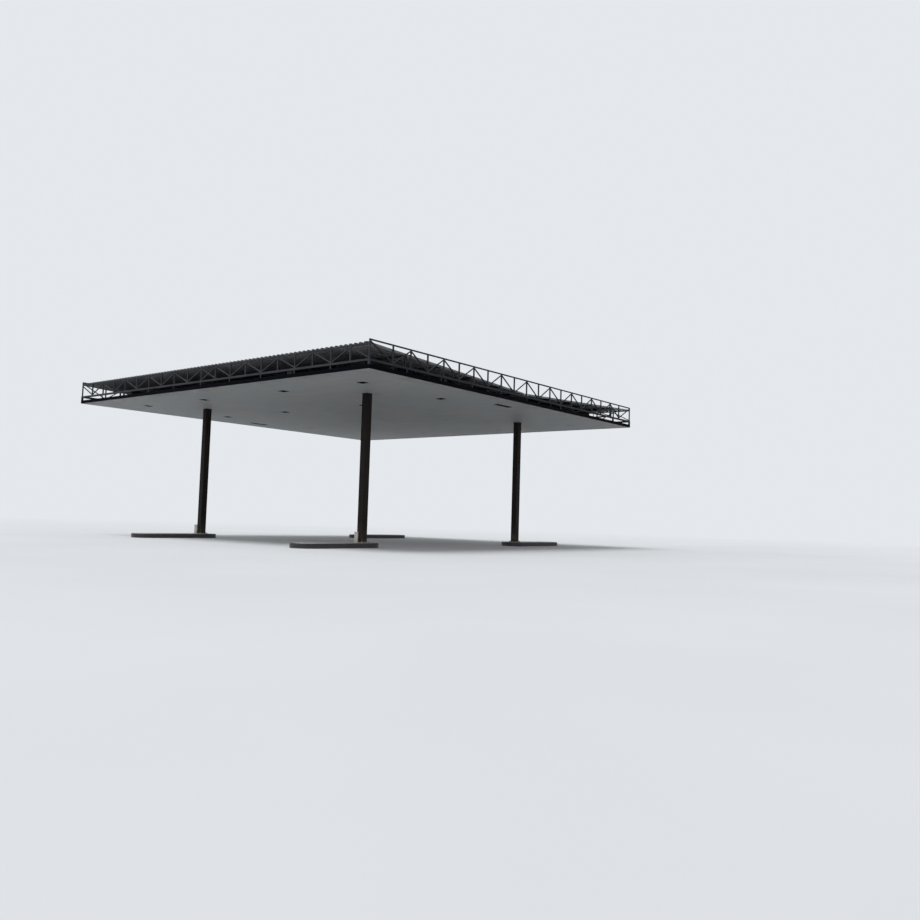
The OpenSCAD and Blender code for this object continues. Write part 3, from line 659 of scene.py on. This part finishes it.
# A column as it is folded: the node's mesh with its doubles merged, and small round corners
def foldedColumn(node, s):
    piece = bpy.data.objects.new("folded_" + node, nodes[node].data.copy())
    scene.collection.objects.link(piece)
    piece.modifiers.new("weld", "WELD").merge_threshold = s["weld"]
    rounded = piece.modifiers.new("rounded", "BEVEL")
    rounded.width, rounded.segments, rounded.limit_method = s["radius"], s["segments"], "ANGLE"
    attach(piece, "root")
    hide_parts(node)
    print(piece.name, "made")


for node in [name for name in nodes if name.startswith(("column_front", "column_rear"))]:
    foldedColumn(node, foldedCorner)

columnPlaces = mirroredPlaces([plan["column"]], [plan["column"]])
anchor = {"offset": 0.19, "washer": 0.026, "washerHeight": 0.004, "washerChamfer": 0.001, "washerSides": 20,
          "nut": 0.0208, "nutHeight": 0.019, "nutChamfer": 0.0015, "rod": 0.012, "core": 0.0103,
          "rodTop": 0.052, "rodSides": 12, "thread": 0.004, "spin": 2.4}


# Eight anchor bolts at each foot: washer, nut with chamfered rims and the end of a threaded rod
def anchorBolts(s):
    washer, washerTop, washerEdge = s["washer"], s["washerHeight"], s["washerChamfer"]
    nut, nutTop, nutEdge = s["nut"], s["washerHeight"] + s["nutHeight"], s["nutChamfer"]
    levels = np.arange(nutTop, s["rodTop"], s["thread"] / 2)
    radii = np.where(np.arange(len(levels)) % 2 == 0, s["core"], s["rod"])
    washerLine = [(washer, 0), (washer, washerTop - washerEdge), (washer - washerEdge, washerTop)]
    nutLine = [(nut - nutEdge, washerTop), (nut, washerTop + nutEdge),
               (nut, nutTop - nutEdge), (nut - nutEdge, nutTop)]
    rodLine = [*zip(radii, levels), (s["core"] - washerEdge, s["rodTop"])]
    bolt = joinedShape(turnedShape(washerLine, s["washerSides"]), turnedShape(nutLine, 6),
                       turnedShape(rodLine, s["rodSides"]))
    steps = (-s["offset"], 0, s["offset"])
    offsets = np.array([(x, y, plan["baseTop"]) for x in steps for y in steps if x or y])
    places = (columnPlaces[:, None] + offsets).reshape(-1, 3)
    return copiedShape(bolt, places, spins(s["spin"] * np.arange(len(places))))


makePiece("anchorBolts", anchorBolts(anchor), "zinc")

grout = {"plate": 0.46, "reach": 0.05, "height": 0.023, "steps": 24, "swelling": 0.8,
         "profile": ((0, 0), (1, 0), (0.72, 0.5), (0.3, 0.9), (0, 1)),
         "waves": ((3, 0.16), (7, 0.12), (19, 0.07))}


# Mortar squeezed out round each base plate: its reach swells by a sum of sines along the plate's edge
def groutBeds(s):
    along = np.linspace(0, 2 * np.pi, 4 * s["steps"], endpoint=False)
    profile = np.array(s["profile"]) * (s["reach"], s["height"])
    beds = []
    for number, place in enumerate(columnPlaces):
        swell = s["swelling"] + sum(size * np.sin(waves * (along + number)) for waves, size in s["waves"])
        bed, faces = framedShape(profile, s["plate"], s["plate"], s["steps"], swell)
        bed[:, 2] = np.minimum(bed[:, 2], s["height"])
        beds.append((bed + place + (0, 0, plan["island"]), faces))
    return joinedShape(*beds)


makePiece("groutBeds", groutBeds(grout), "concrete")

footWeld = {"size": 0.010, "bead": ((0, 0), (1, 0), (0.72, 0.45), (0.4, 0.8), (0, 1)), "steps": 75,
            "swelling": 0.13, "stations": 4, "phase": 0.4, "stiffener": 0.012, "foot": 0.07, "side": 0.006}


# Weld beads round the feet of the columns, which swell every few stations, and fillets along the stiffeners
def footWelds(s):
    width = plan["columnWidth"]
    swell = 1 + s["swelling"] * np.sin(np.arange(4 * s["steps"]) * 2 * np.pi / s["stations"] + s["phase"])
    ring = framedShape(np.array(s["bead"]) * s["size"], width, width, s["steps"], swell)
    fillet = drawnShape([(0, 0), (s["side"], 0), (0, s["side"])], s["foot"])
    half = s["stiffener"] / 2
    strips = []
    for turn in quarterTurns:
        for side in (-width / 4, width / 4):
            # the fillet lies along its own +Y on one side and, turned round, on the other side of a stiffener
            strips.append((turn @ (side + half, width / 2, 0), turn))
            strips.append((turn @ (side - half, width / 2 + s["foot"], 0), turn @ halfTurn))
    places, turns = (np.array(part) for part in zip(*strips))
    foot = joinedShape(ring, copiedShape(fillet, places, turns))
    return copiedShape(foot, columnPlaces + (0, 0, plan["baseTop"]))


makePiece("footWelds", footWelds(footWeld), "column")

seal = {"reach": 0.018, "drop": 0.016, "profile": ((0, -1), (0.35, -0.9), (0.7, -0.55), (1, 0), (0, 0))}


# A smoothed fillet of mastic round each column under the soffit
def soffitSeals(s):
    profile = np.array(s["profile"]) * (s["reach"], s["drop"])
    ring = framedShape(profile, plan["columnWidth"], plan["columnWidth"])
    return copiedShape(ring, columnPlaces + (0, 0, plan["soffit"]))


makePiece("soffitSeals", soffitSeals(seal), "seal")

# Islands
screed = {"halfWidth": 0.48, "near": 5.5, "far": 8.75, "rings": 26, "spokes": 168, "hollow": 0.0055,
          # waves of the surface: along X, along Y, phase, weight
          "waves": ((1.1, 2.3, 0.0, 5), (4.3, -1.9, 1.0, 4), (-6.1, 5.2, 2.0, 3), (11.0, 7.5, 0.5, 2),
                    (9.0, -15.0, 4.0, 1.5)), "phaseStep": 1.7, "gain": 2.0,
          # the level place round a column and its stub, and how far it takes to blend into the rest
          "flat": 0.27, "flatShift": 0.15, "flatLonger": 0.12, "blend": 0.22}


# The concrete inside each kerb: its plan is a rectangle with round ends, scaled towards its middle; the top
# dips by a sum of sines, and is level round the column and its stub
def islandScreed(s):
    radius, middle, run = s["halfWidth"], (s["near"] + s["far"]) / 2, (s["far"] - s["near"]) / 2
    # the lengths along the outline at which its straight and round stretches end, and angle and shift there
    arc = np.pi * radius
    ends = np.cumsum([0, run, arc, 2 * run, arc, run])
    along = np.arange(s["spokes"]) * ends[-1] / s["spokes"]
    angle = np.interp(along, ends, np.pi * np.array([0, 0, 1, 1, 2, 2]))
    shift = np.interp(along, ends, run * np.array([0, 1, 1, -1, -1, 0]))
    edge = np.stack([radius * np.cos(angle), radius * np.sin(angle) + shift], -1)
    share = np.linspace(0, 1, s["rings"] + 1)[1:]
    flatPlan = np.concatenate([[[0, 0]], (share[:, None, None] * edge).reshape(-1, 2)])
    islands = []
    for number, (sx, sy) in enumerate([(-1, -1), (1, -1), (-1, 1), (1, 1)]):
        x, y = sx * plan["column"] + sx * flatPlan[:, 0], sy * (middle + flatPlan[:, 1])
        kx, ky, phase, weight = np.array(s["waves"]).T[:, :, None]
        bend = np.sin(kx * x + ky * y + phase + s["phaseStep"] * number)
        dip = 0.5 + 0.5 * np.clip(s["gain"] * np.average(bend, axis=0, weights=weight[:, 0]), -1, 1)
        asideY = np.abs(y - sy * (plan["column"] + s["flatShift"])) - s["flatLonger"]
        aside = np.maximum(np.abs(x - sx * plan["column"]), asideY)
        away = np.clip((aside - s["flat"]) / s["blend"], 0, 1)
        top = np.stack([x, y, plan["island"] - s["hollow"] * dip * away * away * (3 - 2 * away)], -1)
        base = top[-s["spokes"]:] * (1, 1, 0)
        # the rows run outwards on top and then down to the ground
        under = (1 + s["rings"] * s["spokes"] + np.arange(s["spokes"]))[None, ::-1]
        faces = [*discFaces(s["rings"] + 1, s["spokes"]), under]
        if sx * sy < 0:
            faces = [block[:, ::-1] for block in faces]
        islands.append((np.concatenate([top, base]), faces))
    return joinedShape(*islands)


fills = makePiece("islandScreeds", islandScreed(screed), "concrete")
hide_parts("island_fill_front_left", "island_fill_front_right", "island_fill_rear_left",
            "island_fill_rear_right")

stub = {"off": 0.285, "aside": -0.101, "pipe": 0.045, "cap": 0.049, "foot": 0.195, "capFoot": 0.61,
        "top": 0.65, "chamfer": 0.003, "sides": 36,
        "ribs": 28, "rib": 0.0016, "ribEnd": 0.00064, "ribSlope": 0.002}
stubPlaces = columnPlaces + np.sign(columnPlaces) * (0, stub["off"], 0)
secondPlaces = stubPlaces + (stub["aside"], 0, 0)


# A second capped pipe on one side of each stub
def secondStubs(s):
    pipe, cap, capFoot, chamfer = s["pipe"], s["cap"], s["capFoot"], s["chamfer"]
    profile = [(pipe, s["foot"]), (pipe, capFoot), (cap, capFoot), (cap, s["top"] - chamfer),
               (cap - chamfer, s["top"])]
    return copiedShape(turnedShape(profile, s["sides"]), secondPlaces)


# Grip ribs round the caps of both pipes
def stubRibs(s):
    angle = np.arange(s["ribs"]) * 2 * np.pi / s["ribs"]
    rib, end, slope = s["rib"], s["ribEnd"], s["ribSlope"]
    low, high = s["capFoot"] + slope, s["top"] - s["chamfer"]
    line = turnedShape([(end, low), (rib, low + slope), (rib, high - slope), (end, high)], 6)
    ring = copiedShape(line, np.stack([s["cap"] * np.cos(angle), s["cap"] * np.sin(angle), 0 * angle], -1))
    return copiedShape(ring, np.concatenate([stubPlaces, secondPlaces]))


makePiece("secondStubs", secondStubs(stub), "pipe")
makePiece("stubRibs", stubRibs(stub), "pipe")
print("feet and islands done")

# Lattice trusses
trussWeld = {"size": 0.006, "bead": ((0, 0), (1, 0), (0.6, 0.55), (0, 1)), "steps": 3,
             "fillet": ((0, 0), (0, -1), (1, 0)), "endBays": 20, "sideBays": 18, "sideEnd": 1.25}


# Weld beads at the posts: a ring on the bottom chord, and a fillet on each side under the narrower top chord
def trussWelds(s):
    half, post = plan["half"], plan["post"]
    ring = framedShape(np.array(s["bead"]) * s["size"], post, post, s["steps"])
    fillet = drawnShape(np.array(s["fillet"]) * s["size"], post)
    endLines = np.linspace(-half, half, s["endBays"] + 1)[1:-1]
    sideLines = np.linspace(s["sideEnd"] - half, half - s["sideEnd"], s["sideBays"] + 1)
    parts = []
    sides = [(endLines, plan["endTop"]), (sideLines, plan["sideTop"])] * 2
    for turn, (lines, top) in zip(quarterTurns, sides):
        posts = np.stack([lines, 0 * lines - plan["postLine"], 0 * lines], -1)
        head = posts + (0, 0, top - plan["topChord"])
        for shape, places, ownTurn in ((ring, posts + (0, 0, plan["chordTop"]), turn),
                                       (fillet, head + (post / 2, -post / 2, 0), turn),
                                       (fillet, head + (-post / 2, post / 2, 0), turn @ halfTurn)):
            parts.append(copiedShape(shape, places @ turn.T, ownTurn))
    return joinedShape(*parts)


makePiece("trussWelds", trussWelds(trussWeld), "frame")


# Soffit and screws: a washer, which may narrow to its top, and a six-sided head on it
def washerAndHead(s):
    level = s["washerHeight"]
    return joinedShape(turnedShape([(s["washer"], 0), (s["washerTop"], level)], s["washerSides"]),
                       turnedShape([(s["head"], level), (s["head"], level + s["headHeight"])], 6))


hangerNut = {"x": (9.3, 6.6, 4.7, 1.3), "y": (8.0, 6.0, 4.0, 2.0), "washer": 0.016, "washerTop": 0.016,
             "washerHeight": 0.003, "washerSides": 14, "head": 0.0139, "headHeight": 0.013, "spin": 1.3}


# A washer and a nut on the rails at every hanger
def hangerNuts(s):
    places = mirroredPlaces(s["x"], s["y"], plan["railTop"])
    return copiedShape(washerAndHead(s), places, spins(s["spin"] * np.arange(len(places))))


makePiece("hangerNuts", hangerNuts(hangerNut), "zinc")

rearLamp = {"x": (2.81, 7.53), "y": (3.0, 7.8), "glass": 0.34, "glassDepth": 0.006, "recess": 0.004,
            "rim": 0.027, "rimHeight": 0.03, "housing": 0.36, "housingTop": 0.072}


# Flush lamps in the rear half of the soffit, whose cut-outs don't show: rim and housing, and an opal sheet
def rearLamps(s):
    rim, up = s["rim"], s["rimHeight"]
    places = [(sx * x, y, plan["soffit"]) for sx in (-1, 1) for x in s["x"] for y in s["y"]]
    body = joinedShape(framedShape([(0, 0), (rim, 0), (rim, up), (0, up)], s["glass"], s["glass"]),
                       squareBlock(s["housing"], up, s["housingTop"]))
    sheet = squareBlock(s["glass"], s["recess"], s["recess"] + s["glassDepth"])
    return copiedShape(body, places), copiedShape(sheet, places)


lampBodies, lampSheets = rearLamps(rearLamp)
makePiece("lampBodies", lampBodies, "soffit")
makePiece("lampSheets", lampSheets, "opal")

trimCorner = {"length": 0.0525, "metal": 0.008, "levels": ((0.0, 0.03), (0.038, 0.15))}


# Plates that close the edge trim at the roof's corners, above and below its inner leg
def trimCorners(s):
    metal, length = s["metal"], s["length"]
    plate = joinedShape(*(drawnShape([(0, low), (metal, low), (metal, high), (0, high)], length)
                          for low, high in s["levels"]))
    edge = plan["half"] - metal
    right = [(edge, -edge, plan["soffit"]), (edge, edge - length, plan["soffit"])]
    left = [(-edge, edge, plan["soffit"]), (-edge, length - edge, plan["soffit"])]
    return joinedShape(copiedShape(plate, right), copiedShape(plate, left, halfTurn))


makePiece("trimCorners", trimCorners(trimCorner), "trim")
print("trusses, hangers and trim done")

# Roof sheets
steepness = math.hypot(1, plan["fall"])  # metres of slope for each metre of plan
eaveHeight = plan["deckAtValley"] + plan["half"] * plan["fall"]
slopeLength = (plan["half"] - plan["deckEnd"]) * steepness
ribLines = -plan["ribEdge"] + plan["rib"] * (np.arange(round(2 * plan["ribEdge"] / plan["rib"])) + 0.5)


# How the front slope (-1) or the rear one (1) lies: its own Y axis runs down to the valley
def slopeTurn(sign):
    c, s = np.array([1, plan["fall"]]) / steepness
    front = np.array([[1, 0, 0], [0, c, s], [0, -s, c]])
    return front if sign < 0 else halfTurn @ front


# A place at x on a slope, so far down it from its outer edge and so high over the sheet's underside
def onSlope(sign, x, down=0.0, up=0.0):
    return slopeTurn(sign) @ (0, down, up) + (x, sign * plan["half"], eaveHeight)


lap = {"every": 4, "first": 3, "step": 0.0016, "overFlank": 0.6, "tail": 0.016, "screws": 1.0,
       "firstScrew": 0.35}


# Side laps: on every fourth rib the next sheet lies over the crest, one flank and a strip of the pan
def sheetLaps(s):
    crest, flank, under, top = plan["ribCrest"] / 2, plan["ribFlank"], plan["sheet"], plan["ribHeight"]
    over = s["overFlank"]
    line = [(-crest - over * flank, (1 - over) * top + under), (-crest, top + under), (crest, top + under),
            (crest + flank, under), (crest + flank + s["tail"], under)]
    strip = drawnShape(thickened(line, s["step"]), slopeLength)
    lines = ribLines[s["first"]::s["every"]]
    return joinedShape(*(copiedShape(strip, [onSlope(sign, x) for x in lines], slopeTurn(sign))
                         for sign in (-1, 1)))


makePiece("sheetLaps", sheetLaps(lap), "deck")

verge = {"line": ((9.712, 0.0535), (9.795, 0.0535), (9.914, 0.038), (9.914, -0.028), (9.906, -0.035)),
         "metal": 0.0015, "lift": 0.001605, "length": 2.5, "shortest": 0.2, "lap": 0.06, "start": 0.004}


# Bent flashings over the outermost ribs and down past the sheets' edges, in lengths that lap alternately
def vergeFlashings(s):
    right = np.array(s["line"])
    parts = []
    for line in (right, right[::-1] * (-1, 1)):
        for number, start in enumerate(np.arange(s["start"], slopeLength - s["shortest"], s["length"])):
            raised = thickened(line, s["lift"])[len(line):][::-1] if number % 2 else line
            end = min(start + s["length"] + s["lap"], slopeLength)
            strip = drawnShape(thickened(raised, s["metal"]), end - start)
            parts.extend(copiedShape(strip, [onSlope(sign, 0.0, start)], slopeTurn(sign)) for sign in (-1, 1))
    return joinedShape(*parts)


makePiece("vergeFlashings", vergeFlashings(verge), "deck")

screw = {"lines": (9.95, 8.0, 6.0, 4.0, 2.0, 0.35), "washer": 0.0105, "washerTop": 0.007875,
         "washerHeight": 0.003, "washerSides": 8, "head": 0.0058, "headHeight": 0.0055}


# Screws with sealing washers: over every bar below, in each pan at both ends of a slope and every second
# one between, and on the crests along the laps and verges
def sheetScrews(s):
    one = washerAndHead(s)
    pans = ribLines[:-1] + plan["rib"] / 2
    crests = [*ribLines[lap["first"]::lap["every"]], ribLines[0], ribLines[-1]]
    rows = np.arange(lap["firstScrew"], slopeLength, lap["screws"])
    crestHeight = plan["ribHeight"] + plan["sheet"] + lap["step"]
    parts = []
    for sign in (-1, 1):
        inPans = [(x, sign * y, plan["deckAtValley"] + y * plan["fall"] + plan["sheet"]) for y in s["lines"]
                  for x in (pans if y in (s["lines"][0], s["lines"][-1]) else pans[::2])]
        onCrests = [onSlope(sign, x, row, crestHeight) for x in crests for row in rows]
        parts += [copiedShape(one, inPans, slopeTurn(sign)), copiedShape(one, onCrests, slopeTurn(sign))]
    return joinedShape(*parts)


makePiece("sheetScrews", sheetScrews(screw), "zinc")
print("roof sheets done")
